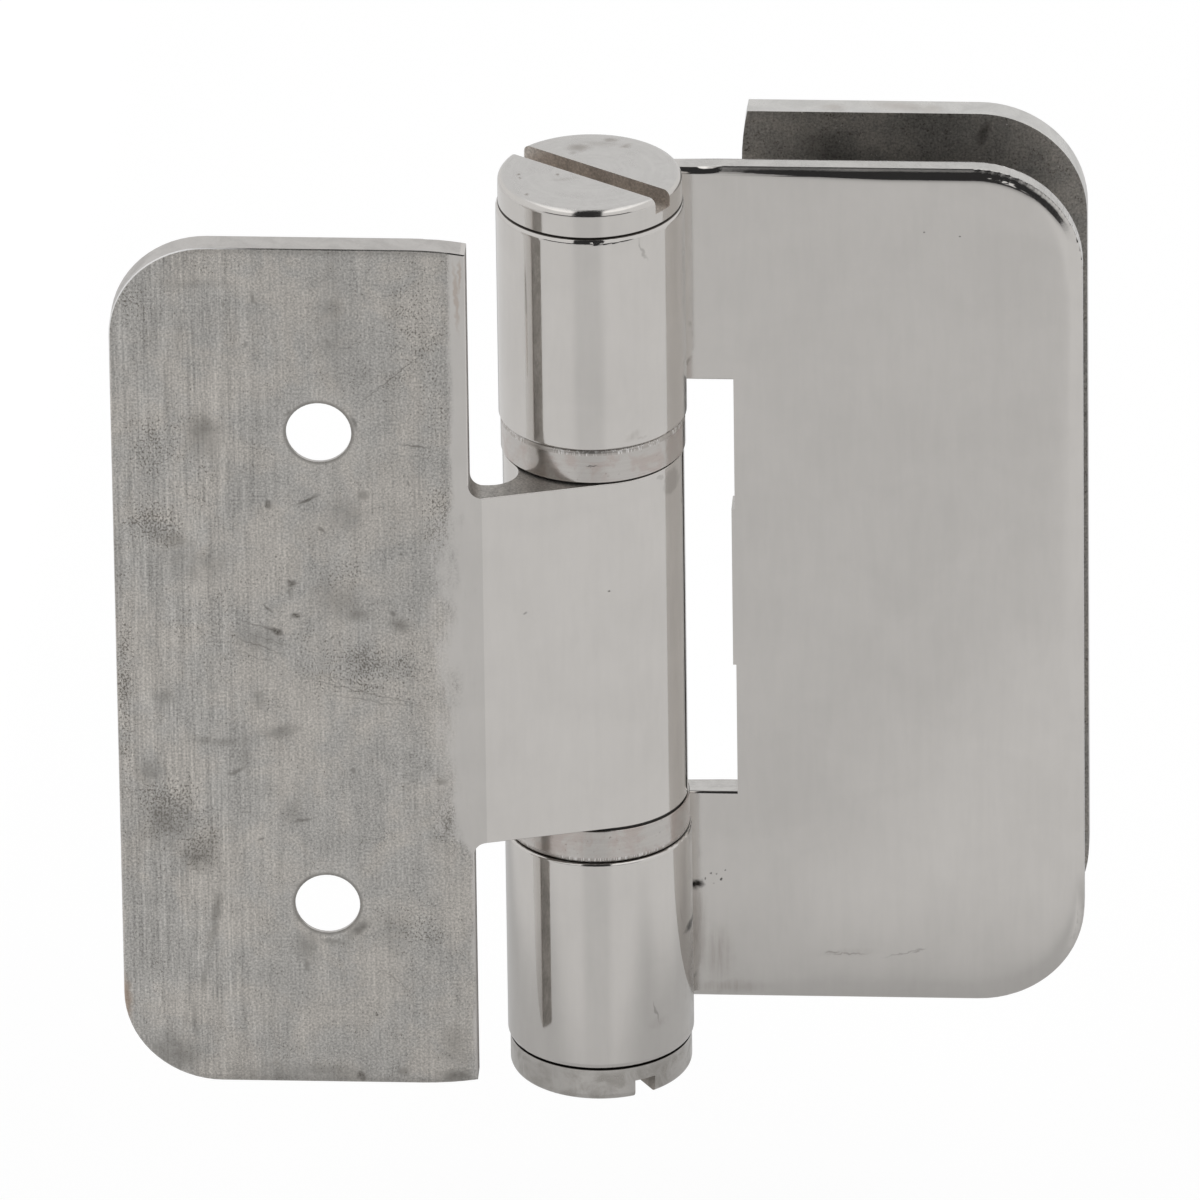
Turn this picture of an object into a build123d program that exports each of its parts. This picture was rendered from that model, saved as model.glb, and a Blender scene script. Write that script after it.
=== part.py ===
from build123d import *
from math import acos, atan2, cos, hypot, sin, sqrt
import os

# Glass shower door hinge, wall leaf to glass clamp, in millimetres.
# The origin is midway between the wall leaf's two screw holes, on its mounting face.
# +X runs from the wall leaf to the door leaf, +Y from the mounting face to the clamp
# plate, and +Z up along the barrel.

# Leaves, with their reach measured from the barrel's axis
leaf_height = 100.0
wall_plate_t = 3.3
wall_reach = 50.7
wall_gap = 2.5               # wall plate's near side off the barrel
wall_corner_r = 10.5
door_plate_t = 3.2
door_reach = 52.2
window_gap = 4.6             # window's far side off the barrel
clamp_plate_t = 3.3
clamp_set_back = 0.4         # clamp plate's near side past the window's far side
door_corner_r = 11.6

# Edges and corners
ease_length = 6.0            # near corners eased by polishing
wall_ease = 0.5
clamp_ease = 0.65
plate_round = 0.4            # polished outline edges
mounting_edge = 0.12         # unpolished mounting edge
barrel_round = 0.8           # outer ends of the barrel and the door plate's outline
seam_round = 0.3             # outer knuckles' edges at the rings
ring_round = 0.5             # rings' edges at the outer knuckles
edge_break = 0.1             # crisp edges of the middle knuckle, and the rings' beside it
notch_round = 1.4            # corners beside the tongue
window_round = 1.8           # corners of the door leaf's window
land_height = 18.8           # land left proud on the window's far side
land_proud = 0.35

# Barrel: the outer knuckles' radius, and how far the rest lies inside it
barrel_r = 10.1
mid_inset = 0.35
ring_inset = 0.2
washer_inset = 0.55
cap_inset = 0.25
mid_length = 41.4            # middle knuckle, and the tongue that carries it
ring_t = 3.9
washer_t = 0.2
end_play = 0.05
door_standoff = 0.6          # door plate's glass face past the barrel's tangent plane
tongue_fillet = 3.1
arm_run = 2.9                # barrel to where the arm leaves the plate's face
arm_fillet = 0.8

# Pin, bushes and screw caps
pin_r = 5.0
pin_chamfer = 0.6
bush_wall = 1.5
bush_length = 18.0
top_cap_height = 3.1
bottom_cap_height = 3.8
slot_width = 2.5
top_slot_depth = 1.75
bottom_slot_depth = 2.1
cap_round = 0.8
top_slot_turn = -34.2        # slot directions as the caps were left, each seen
bottom_slot_turn = 57.7      # from its own end of the barrel
shank_r = 7.0
shank_length = 8.0
shank_chamfer = 0.8
tapping_depth = 9.0

# Wall screw holes, and the angle of every countersink
wall_screw_pitch = 56.6
wall_screw_reach = 28.5
wall_hole_r = 3.5
wall_sink_r = 6.4
sink_angle = 90.0

# Glass clamp
glass_t = 8.0
gasket_t = 1.6
gasket_inset = 6.5           # none of a gasket shows above the front plate
clamp_screw_inset = 22.0     # leaf's ends to the screws
clamp_screw_reach = 33.5
boss_r = 5.5
sleeve_wall = 2.0
screw_r = 3.0
screw_head_r = 6.0
screw_length = 11.0
screw_chamfer = 0.5
socket_r = 2.2
socket_depth = 1.9
tapped_depth = 9.5

# Clearances
running_fit = 0.04           # pin in its bushes, rings and washers
seat_fit = 0.02              # bushes, pin, shanks and screws in their seats
sink_fit = 0.1               # screw heads in their countersinks
hole_fit = 0.3               # screws in their clearance holes
sleeve_fit = 0.1             # sleeves and gaskets round the bosses, and their ends

# Places
half_height = leaf_height / 2
mid_end = mid_length / 2
washer_start = mid_end + end_play
ring_start = washer_start + washer_t
knuckle_start = ring_start + ring_t
pin_end = half_height - shank_length - end_play
mid_r = barrel_r - mid_inset
ring_r = barrel_r - ring_inset
washer_r = barrel_r - washer_inset
cap_r = barrel_r - cap_inset
wall_near = barrel_r + wall_gap
door_near = barrel_r + window_gap
clamp_near = door_near + clamp_set_back
axis_x = wall_screw_reach
axis_y = wall_plate_t + barrel_r
glass_face = barrel_r + door_standoff
door_face = glass_face - door_plate_t
clamp_gap = glass_t + 2 * gasket_t
clamp_face = axis_y + glass_face + clamp_gap
clamp_back = clamp_face + clamp_plate_t
clamp_screw_x = axis_x + clamp_screw_reach
clamp_screw_pitch = leaf_height - 2 * clamp_screw_inset
barrel = Plane(origin=(axis_x, axis_y, 0))
barrel_down = Plane(origin=(axis_x, axis_y, 0), x_dir=(1, 0, 0), z_dir=(0, 0, -1))
wall_side = Plane(origin=(axis_x, axis_y, 0), x_dir=(-1, 0, 0))


def upright(y):
    """Plane facing the mounting side at a depth, with X across it and Z up it."""
    return Plane.XZ.offset(-y)


def from_behind(x, y):
    """Plane facing +Y, for what is let in from the back."""
    return Plane(origin=(x, y, 0), x_dir=(1, 0, 0), z_dir=(0, 1, 0))


def pair(pitch):
    """Two places one above the other."""
    return Locations((0, pitch / 2), (0, -pitch / 2))


def leaf_outline(y, near, far, corner_r, ease_x=0.0, ease_z=0.0):
    """A leaf's face: far corners rounded, near corners square or eased by polishing."""
    along = 1 if far > near else -1
    side = (axis_x + near, half_height - ease_z)
    top = (axis_x + near + along * ease_x, half_height)
    level = (axis_x + far - along * corner_r, half_height)
    edge = (axis_x + far, half_height - corner_r)
    with BuildSketch(upright(y)) as face:
        with BuildLine():
            Line((axis_x + near, 0), side)
            if ease_x > ease_z:
                TangentArc(top, side, tangent=(-along, 0))
            elif ease_z > ease_x:
                TangentArc(side, top, tangent=(0, 1))
            Line(top, level)
            TangentArc(level, edge, tangent=(along, 0))
            Line(edge, (axis_x + far, 0))
            mirror(about=Plane.XZ)
        make_face()
    return face.sketch


def arm_plan(plane, knuckle_r, near, bend, outer, inner, radius):
    """Knuckle and arm in plan. The arm's outer face runs flat to its bend and then
    tangent to the knuckle; its inner face meets the knuckle in a concave fillet."""
    angle = atan2(outer, bend) + acos(knuckle_r / hypot(bend, outer))
    touch = (knuckle_r * cos(angle), knuckle_r * sin(angle))
    centre_y = inner - radius
    centre_x = sqrt((knuckle_r + radius) ** 2 - centre_y**2)
    share = knuckle_r / (knuckle_r + radius)
    root = (share * centre_x, share * centre_y)
    foot = (centre_x, inner)
    with BuildSketch(plane) as plan:
        with BuildLine():
            Polyline(root, (0, 0), touch, (bend, outer), (near, outer), (near, inner), foot)
            RadiusArc(foot, root, -radius)
        make_face()
        Circle(knuckle_r)
    return plan.sketch


def knuckle_rims(part, knuckle_r, level):
    """A knuckle's arcs at one height above and below the middle."""
    arcs = part.edges().filter_by(GeomType.CIRCLE)
    at_level = arcs.filter_by(lambda arc: abs(abs(arc.center().Z) - level) < 0.01)
    return at_level.filter_by(lambda arc: abs(arc.radius - knuckle_r) < 0.01)


os.makedirs("parts", exist_ok=True)

# Wall leaf: plate, tongue and middle knuckle in one piece
with BuildPart() as wall_leaf:
    extrude(
        leaf_outline(0, -wall_near, -wall_reach, wall_corner_r, ease_length, wall_ease),
        amount=-wall_plate_t,
    )
    fillet(wall_leaf.faces().sort_by(Axis.Y)[-1].edges(), plate_round)
    chamfer(wall_leaf.faces().sort_by(Axis.Y)[0].edges(), mounting_edge)

    # The tongue's root, with the rounded corners of the notches beside it
    root_near = axis_x - wall_near + notch_round
    root_length = 3 * notch_round
    with BuildSketch(upright(0)):
        with Locations((root_near, 0)):
            Rectangle(
                root_length, mid_length + 2 * notch_round, align=(Align.MAX, Align.CENTER)
            )
            with pair(mid_length + 2 * notch_round):
                Circle(notch_round, mode=Mode.SUBTRACT)
    extrude(amount=-wall_plate_t)
    extrude(
        arm_plan(
            wall_side, mid_r, wall_near + notch_round, wall_near - notch_round, axis_y,
            axis_y - wall_plate_t, tongue_fillet,
        ),
        amount=mid_end,
        both=True,
    )
    fillet(knuckle_rims(wall_leaf, mid_r, mid_end), edge_break)
    with Locations(barrel):
        Hole(pin_r + running_fit + bush_wall + seat_fit)
    with Locations(from_behind(0, wall_plate_t)):
        with pair(wall_screw_pitch):
            CounterSinkHole(wall_hole_r, wall_sink_r, counter_sink_angle=sink_angle)
wall_leaf.part.label = "wall_leaf"
export_step(wall_leaf.part, "parts/wall_leaf.step")

# Door leaf: front plate, two knuckles and two tapped bosses in one piece
with BuildPart() as door_leaf:
    extrude(
        arm_plan(
            barrel, barrel_r, door_near + plate_round, barrel_r + arm_run, glass_face,
            door_face, arm_fillet,
        ),
        amount=half_height,
        both=True,
    )
    extrude(
        leaf_outline(axis_y + door_face, door_near, door_reach, door_corner_r),
        amount=-door_plate_t,
    )
    rim = door_leaf.edges().filter_by(
        lambda e: e.center().X > clamp_screw_x or abs(e.center().Z) > half_height - 0.01
    )
    fillet(rim.filter_by(Axis.Y, reverse=True), barrel_round)

    # Window for the middle knuckle and its tongue, with a land on its far side
    window_x = axis_x + door_near
    land_x = window_x - land_proud
    clear_x = axis_x - 2 * barrel_r
    with BuildSketch(upright(clamp_back)) as window:
        with BuildLine():
            Polyline(
                (clear_x, 0), (clear_x, knuckle_start), (window_x, knuckle_start),
                (window_x, land_height / 2), (land_x, land_height / 2), (land_x, 0),
            )
            mirror(about=Plane.XZ)
        make_face()
        corners = window.vertices().filter_by(
            lambda v: v.X > land_x and abs(v.Z) > land_height
        )
        fillet(corners, window_round)
    extrude(amount=clamp_back + clear_x, mode=Mode.SUBTRACT)
    fillet(knuckle_rims(door_leaf, barrel_r, knuckle_start), seam_round)

    # Bosses that set the clamp's gap, tapped from behind
    with BuildSketch(from_behind(clamp_screw_x, axis_y + glass_face)):
        with pair(clamp_screw_pitch):
            Circle(boss_r)
    extrude(amount=clamp_gap)
    with Locations(from_behind(clamp_screw_x, clamp_face)):
        with pair(clamp_screw_pitch):
            Hole(screw_r + seat_fit, depth=tapped_depth)

    # Bore for the pin, opened out at both ends for the caps
    with Locations(barrel):
        Hole(pin_r + seat_fit)
    for end in (barrel, barrel_down):
        with BuildSketch(end.offset(half_height)):
            Circle(shank_r + seat_fit)
        extrude(amount=-tapping_depth, mode=Mode.SUBTRACT)
door_leaf.part.label = "door_leaf"
export_step(door_leaf.part, "parts/door_leaf.step")

# Clamp plate behind the glass, with its holes countersunk from the back
with BuildPart() as clamp_plate:
    extrude(
        leaf_outline(clamp_face, clamp_near, door_reach, door_corner_r, clamp_ease, ease_length),
        amount=-clamp_plate_t,
    )
    fillet(clamp_plate.faces().sort_by(Axis.Y)[-1].edges(), plate_round)
    with Locations(from_behind(clamp_screw_x, clamp_back)):
        with pair(clamp_screw_pitch):
            CounterSinkHole(
                screw_r + hole_fit, screw_head_r + sink_fit, counter_sink_angle=sink_angle
            )
clamp_plate.part.label = "clamp_plate"
export_step(clamp_plate.part, "parts/clamp_plate.step")

# Gaskets between the plates and the glass, each round the two bosses
gaskets = {
    "front_gasket": axis_y + glass_face,
    "rear_gasket": clamp_face - gasket_t,
}
for name, y in gaskets.items():
    outline = leaf_outline(y, clamp_near, door_reach, door_corner_r)
    with BuildPart() as gasket:
        extrude(offset(outline, -gasket_inset, mode=Mode.PRIVATE), amount=-gasket_t)
        with Locations(from_behind(clamp_screw_x, y + gasket_t)):
            with pair(clamp_screw_pitch):
                Hole(boss_r + sleeve_fit)
    gasket.part.label = name
    export_step(gasket.part, f"parts/{name}.step")

# Sleeves that keep the bosses off the glass, in its two cut-outs
sleeve_start = axis_y + glass_face + gasket_t + sleeve_fit
sleeve_length = glass_t - 2 * sleeve_fit
sleeves = {
    "upper_sleeve": clamp_screw_pitch / 2,
    "lower_sleeve": -clamp_screw_pitch / 2,
}
for name, z in sleeves.items():
    with BuildPart() as sleeve:
        with BuildSketch(upright(sleeve_start)):
            with Locations((clamp_screw_x, z)):
                Circle(boss_r + sleeve_fit + sleeve_wall)
                Circle(boss_r + sleeve_fit, mode=Mode.SUBTRACT)
        extrude(amount=-sleeve_length)
    sleeve.part.label = name
    export_step(sleeve.part, f"parts/{name}.step")

# Countersunk clamp screws with hexagon sockets, driven from the back
with BuildPart() as clamp_screws:
    with BuildSketch(from_behind(clamp_screw_x, clamp_back)):
        with pair(clamp_screw_pitch):
            Circle(screw_r)
    extrude(amount=-screw_length)
    chamfer(clamp_screws.faces().group_by(Axis.Y)[0].edges(), screw_chamfer)
    with BuildSketch(from_behind(clamp_screw_x, clamp_back)):
        with pair(clamp_screw_pitch):
            Circle(screw_head_r)
    extrude(amount=screw_r - screw_head_r, taper=sink_angle / 2)
    with BuildSketch(from_behind(clamp_screw_x, clamp_back)):
        with pair(clamp_screw_pitch):
            RegularPolygon(socket_r, 6)
    extrude(amount=-socket_depth, mode=Mode.SUBTRACT)
clamp_screws.part.label = "clamp_screws"
export_step(clamp_screws.part, "parts/clamp_screws.step")

# Pin through all three knuckles, held between the caps
with BuildPart() as hinge_pin:
    with BuildSketch(barrel):
        Circle(pin_r)
    extrude(amount=pin_end, both=True)
    chamfer(hinge_pin.edges().filter_by(GeomType.CIRCLE), pin_chamfer)
hinge_pin.part.label = "hinge_pin"
export_step(hinge_pin.part, "parts/hinge_pin.step")

# What goes round the pin at both ends of the middle knuckle
for side, end in (("upper", barrel), ("lower", barrel_down)):
    # Bush, flush with the knuckle's end
    with BuildPart() as bush:
        with BuildSketch(end.offset(mid_end)):
            Circle(pin_r + running_fit + bush_wall)
            Circle(pin_r + running_fit, mode=Mode.SUBTRACT)
        extrude(amount=-bush_length)
    bush.part.label = f"{side}_bush"
    export_step(bush.part, f"parts/{side}_bush.step")

    # Thrust washer
    with BuildPart() as washer:
        with BuildSketch(end.offset(washer_start)):
            Circle(washer_r)
            Circle(pin_r + running_fit, mode=Mode.SUBTRACT)
        extrude(amount=washer_t)
    washer.part.label = f"{side}_thrust_washer"
    export_step(washer.part, f"parts/{side}_thrust_washer.step")

    # Ring against the outer knuckle
    with BuildPart() as ring:
        with BuildSketch(end.offset(ring_start)):
            Circle(ring_r)
            Circle(pin_r + running_fit, mode=Mode.SUBTRACT)
        extrude(amount=ring_t)
        rims = ring.edges().filter_by(GeomType.CIRCLE).sort_by(SortBy.RADIUS)[-2:]
        inner_rim, outer_rim = rims.sort_by(Axis(end.origin, end.z_dir))
        fillet(outer_rim, ring_round)
        fillet(inner_rim, edge_break)
    ring.part.label = f"{side}_ring"
    export_step(ring.part, f"parts/{side}_ring.step")

# Slotted caps that close the barrel's ends
caps = {
    "top_cap": (barrel, top_cap_height, top_slot_depth, top_slot_turn),
    "bottom_cap": (barrel_down, bottom_cap_height, bottom_slot_depth, bottom_slot_turn),
}
for name, (end, height, slot_depth, slot_turn) in caps.items():
    outwards = Axis(end.origin, end.z_dir)
    with BuildPart() as cap:
        with BuildSketch(end.offset(half_height)):
            Circle(cap_r)
        extrude(amount=height)
        fillet(cap.edges().sort_by(outwards)[-1], cap_round)
        with BuildSketch(end.offset(half_height + height)):
            Rectangle(3 * cap_r, slot_width, rotation=slot_turn)
        extrude(amount=-slot_depth, mode=Mode.SUBTRACT)
        with BuildSketch(end.offset(half_height)):
            Circle(shank_r)
        extrude(amount=-shank_length)
        chamfer(cap.edges().sort_by(outwards)[0], shank_chamfer)
    cap.part.label = name
    export_step(cap.part, f"parts/{name}.step")
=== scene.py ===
from collections import namedtuple
from math import cos, e, radians, sin

import bpy
from mathutils import Matrix, Vector


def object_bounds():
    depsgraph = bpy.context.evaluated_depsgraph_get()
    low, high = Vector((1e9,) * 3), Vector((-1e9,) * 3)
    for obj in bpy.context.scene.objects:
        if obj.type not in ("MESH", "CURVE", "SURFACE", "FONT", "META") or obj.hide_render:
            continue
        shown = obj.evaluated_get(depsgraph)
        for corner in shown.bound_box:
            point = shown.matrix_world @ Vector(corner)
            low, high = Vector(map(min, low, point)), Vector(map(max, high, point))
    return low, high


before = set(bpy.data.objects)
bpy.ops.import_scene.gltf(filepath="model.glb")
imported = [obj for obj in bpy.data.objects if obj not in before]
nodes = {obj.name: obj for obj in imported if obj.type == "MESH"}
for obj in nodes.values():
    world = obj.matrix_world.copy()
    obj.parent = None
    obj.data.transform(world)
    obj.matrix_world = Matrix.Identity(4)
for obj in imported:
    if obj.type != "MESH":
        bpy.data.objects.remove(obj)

# Shower door hinge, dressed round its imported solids. Places and sizes are in
# millimetres unless a name says otherwise. +X runs from the wall leaf to the door
# leaf, +Y into the room and +Z up the barrel.

cad_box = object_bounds()
MM = 0.001

# The hinge's main places
AXIS_X = 28.5                # barrel
AXIS_Y = 13.4
BARREL_R = 10.1
CAP_R = 9.85
HALF_HEIGHT = 50.0           # leaves and outer knuckles, where the caps start
SLOT_LEVEL = 51.0            # just short of both slots' floors
CAP_END = 52.3               # level past which a cap's flat faces are its end
KNUCKLE_START = 24.85        # outer knuckles' ends at the rings
MID_END = 20.7               # ends of the middle knuckle and the tongue
WALL_NEAR = 15.9             # wall plate's side towards the barrel
WALL_THICK = 3.3
NOTCH_END = 17.4             # where the corners of its notches end
HOLE_Z = 28.3                # wall screw holes, above and below the middle
HOLE_R = 3.5
DOOR_NEAR = 43.2             # door plate's side towards the barrel
DOOR_FAR = 80.7
DOOR_CORNER = 11.6           # radius of its corners
DOOR_ROUND = 0.8             # its outline's rounding
FAR = 1000.0                 # past everything

# Polish: where it starts on the mounting side, at the tongue and the two notches, and
# how fast it rolls the door plate's face off
TONGUE_POLISH = 13.2
UPPER_POLISH = 14.1
LOWER_POLISH = 15.7
ROLL_LENGTH = 0.65

# Camera
CAMERA_PLACE = Vector((164.3, -2230.4, 1136.6)) * MM
CAMERA_AIM = Vector((29.0, 13.4, 2.0)) * MM
CAMERA_LENS = 702.6
CAMERA_SENSOR = 36.0
CAMERA_ROLL = radians(-0.78)
CAMERA_FAR = 20.0            # how far it sees, in metres

# Studio, in metres
FLOOR_DROP = 0.025           # floor below the hinge, which a wall holds up
FLOOR_SIZE = 12.0
FLOOR_GREY = (0.83, 0.83, 0.83, 1.0)
FLOOR_WHITE = 1.17           # light that the camera sees in the floor, and its share
FLOOR_WHITE_SHARE = 0.75
FLOOR_GLOW_SHARE = 0.30      # share for rays that metal or glass sends down
STUDIO_LEVEL = 0.82
BOX_LEVEL = 0.45             # what the soft boxes add
STUDIO_DARK = (0.035, 0.035, 0.036, 1.0)
WHITE = (1.0, 1.0, 1.0, 1.0)

# Steel
STEEL = (0.665, 0.64, 0.613, 1.0)
MILL = (0.545, 0.523, 0.495, 1.0)
CUT = (0.56, 0.54, 0.52, 1.0)
RAW = (0.46, 0.44, 0.415, 1.0)
DOOR_EDGE = (0.60, 0.585, 0.565, 1.0)
CLAMP_EDGE = (0.66, 0.65, 0.63, 1.0)
CLAMP_INNER = (0.45, 0.43, 0.405, 1.0)
CAP_SATIN = (0.605, 0.59, 0.573, 1.0)
SLOT_WALL = (0.60, 0.55, 0.505, 1.0)
RING_TONES = ((0.575, 0.55, 0.525, 1.0), (0.54, 0.485, 0.455, 1.0))
RING_RIM = (0.46, 0.43, 0.40, 1.0)
RING_TEETH = (0.85, 0.83, 0.81, 1.0)
PIN = (0.62, 0.60, 0.58, 1.0)
SCREW = (0.60, 0.585, 0.565, 1.0)
COOL, WARM = (0.99, 1.0, 1.008, 1.0), (1.012, 1.0, 0.985, 1.0)

# Rubber and plastics
RUBBER = (0.022, 0.021, 0.020, 1.0)
BUSH = (0.62, 0.59, 0.53, 1.0)
SLEEVE = (0.70, 0.69, 0.66, 1.0)
WASHER = (0.025, 0.024, 0.023, 1.0)

# Dirt, marks and worn places, with painted shade for seams, a painted highlight and painted glints
# Dark grime, also used as painted shade in the seams between parts
GRIME_AND_SEAM_SHADE = (0.07, 0.062, 0.055, 1.0)
MARK_BLACK = (0.015, 0.014, 0.013, 1.0)
POLISH_DUST = (0.2, 0.18, 0.16, 1.0)
MILL_PIT = (0.17, 0.155, 0.135, 1.0)
WALL_SMUDGE = (0.24, 0.228, 0.21, 1.0)
WALL_MARK = (0.13, 0.12, 0.105, 1.0)
WALL_SCRATCH = (0.15, 0.14, 0.125, 1.0)
WALL_DIRT = (0.2, 0.19, 0.175, 1.0)
WALL_FILM = (0.34, 0.32, 0.30, 1.0)
HOLE_SHINE = (0.75, 0.73, 0.70, 1.0)
RIM_SHINE = (0.92, 0.91, 0.90, 1.0)
BROWN = (0.40, 0.28, 0.20, 1.0)
DOOR_SCRATCH = (0.2, 0.19, 0.17, 1.0)
DOOR_FILM = (0.33, 0.29, 0.26, 1.0)
CLAMP_SMEAR = (0.42, 0.37, 0.33, 1.0)
# Painted glints: white specks on the clamp plate's inner face, for light caught in its pits
CLAMP_PIT_GLINT = (1.0, 0.98, 0.95, 1.0)
CAP_STAIN = (0.27, 0.24, 0.21, 1.0)
CAP_DULL = (0.36, 0.34, 0.31, 1.0)
RING_DOT = (0.2, 0.17, 0.15, 1.0)
PLASTIC_DUST = (0.45, 0.43, 0.40, 1.0)

Coat = namedtuple("Coat", "colour rough height")


class Graph:
    """Short ways to add and join the shader nodes of one material or world."""

    def __init__(self, tree):
        self.tree = tree
        tree.nodes.clear()

    def add(self, kind, inputs=None, **settings):
        node = self.tree.nodes.new("ShaderNode" + kind)
        for name, value in settings.items():
            setattr(node, name, value)
        for name, value in (inputs or {}).items():
            self.put(node.inputs[name], value)
        return node

    def put(self, socket, value):
        if isinstance(value, bpy.types.NodeSocket):
            self.tree.links.new(value, socket)
        elif value is not None:
            socket.default_value = value

    def math(self, operation, a, b=None, c=None):
        return self.add("Math", {0: a, 1: b, 2: c}, operation=operation).outputs[0]

    def times(self, first, *rest):
        for value in rest:
            first = self.math("MULTIPLY", first, value)
        return first

    def plus(self, first, *rest):
        for value in rest:
            first = self.math("ADD", first, value)
        return first

    def size(self, value):
        return self.math("ABSOLUTE", value)

    def split(self, vector):
        return self.add("SeparateXYZ", {0: vector}).outputs

    def join(self, x, y, z):
        return self.add("CombineXYZ", {0: x, 1: y, 2: z}).outputs[0]

    def step(self, value, low, high, out_low=0.0, out_high=1.0):
        """Smooth step of a value between two limits."""
        inputs = {"Value": value, 1: low, 2: high, 3: out_low, 4: out_high}
        return self.add("MapRange", inputs, interpolation_type="SMOOTHSTEP").outputs[0]

    def step_line(self, value, low, high, out_low=0.0, out_high=1.0):
        """Straight step of a value between two limits."""
        inputs = {"Value": value, 1: low, 2: high, 3: out_low, 4: out_high}
        return self.add("MapRange", inputs).outputs[0]

    def between(self, value, low, high, soft):
        """1 between two limits, falling to 0 over a soft margin."""
        above = self.step(value, low - soft, low + soft)
        return self.math("MULTIPLY", above, self.step(value, high + soft, high - soft))

    def lerp(self, share, a, b):
        """A number between two others, also past them."""
        return self.add("MapRange", {"Value": share, 3: a, 4: b}, clamp=False).outputs[0]

    def mix(self, share, a, b, blend="MIX"):
        node = self.add("Mix", data_type="RGBA", blend_type=blend)
        for slot, value in ((0, share), (6, a), (7, b)):
            self.put(node.inputs[slot], value)
        return node.outputs[2]

    def shade(self, colour, amount):
        """A colour times a number."""
        return self.mix(1.0, colour, self.join(amount, amount, amount), "MULTIPLY")

    def noise(self, vector, scale, detail=3.0, roughness=0.5, distortion=0.0):
        inputs = {
            "Vector": vector, "Scale": scale, "Detail": detail,
            "Roughness": roughness, "Distortion": distortion,
        }
        return self.add("TexNoise", inputs).outputs[0]

    def scaled(self, vector, x, y, z):
        return self.add("Mapping", {"Vector": vector, "Scale": (x, y, z)}).outputs[0]


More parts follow.
